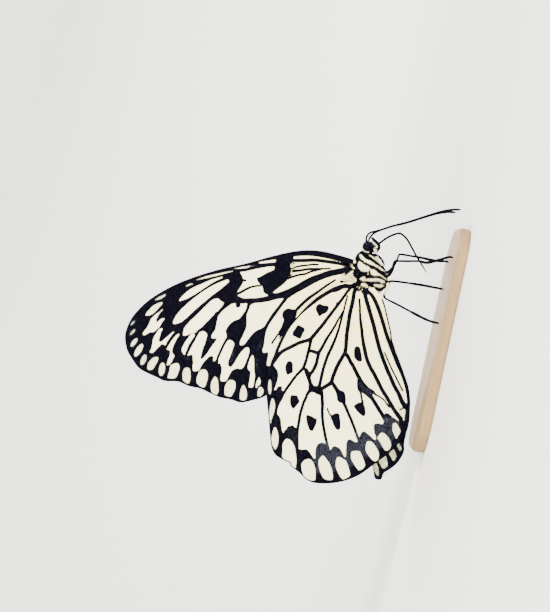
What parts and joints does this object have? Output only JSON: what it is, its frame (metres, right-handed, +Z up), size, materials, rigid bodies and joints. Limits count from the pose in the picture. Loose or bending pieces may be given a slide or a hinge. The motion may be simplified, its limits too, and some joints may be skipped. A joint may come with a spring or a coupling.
{
  "type": "paper kite butterfly",
  "caption": "Life-size still butterfly with cream wings closed over its back, black veins and spots, standing on a flat display base.",
  "frame": {"origin": "centre of the display base's underside", "axes": "+X forward along the base, the way the head points; +Y to the butterfly's left; +Z up"},
  "size_m": [0.0816, 0.036, 0.0865],
  "materials": {
    "thorax": "short black and cream scales in bands",
    "head": "short black scales with cream spots",
    "abdomen": "short pale scales with dark bands",
    "eye": "glossy",
    "palp": "short cream and black scales",
    "proboscis": "satin, black",
    "antenna": "matt, black",
    "foreleg": "short black scales with cream dots",
    "walking_leg": "short black scales, paler at the root",
    "forewing": "fine scales, cream with black veins and spots",
    "hindwing": "fine scales, cream with black veins and spots",
    "stand": "satin, pale"
  },
  "bodies": {
    "root": {"thorax": "thorax", "head": "head", "abdomen": "abdomen", "eye_right": "eye", "eye_left": "eye", "palp_right": "palp", "palp_left": "palp", "proboscis": "proboscis", "antenna_right": "antenna", "antenna_left": "antenna", "foreleg_right": "foreleg", "foreleg_left": "foreleg", "midleg_right": "walking_leg", "midleg_left": "walking_leg", "hindleg_right": "walking_leg", "hindleg_left": "walking_leg", "forewing_right": "forewing", "forewing_left": "forewing", "hindwing_right": "hindwing", "hindwing_left": "hindwing", "stand_base": "stand"}
  },
  "joints": []
}
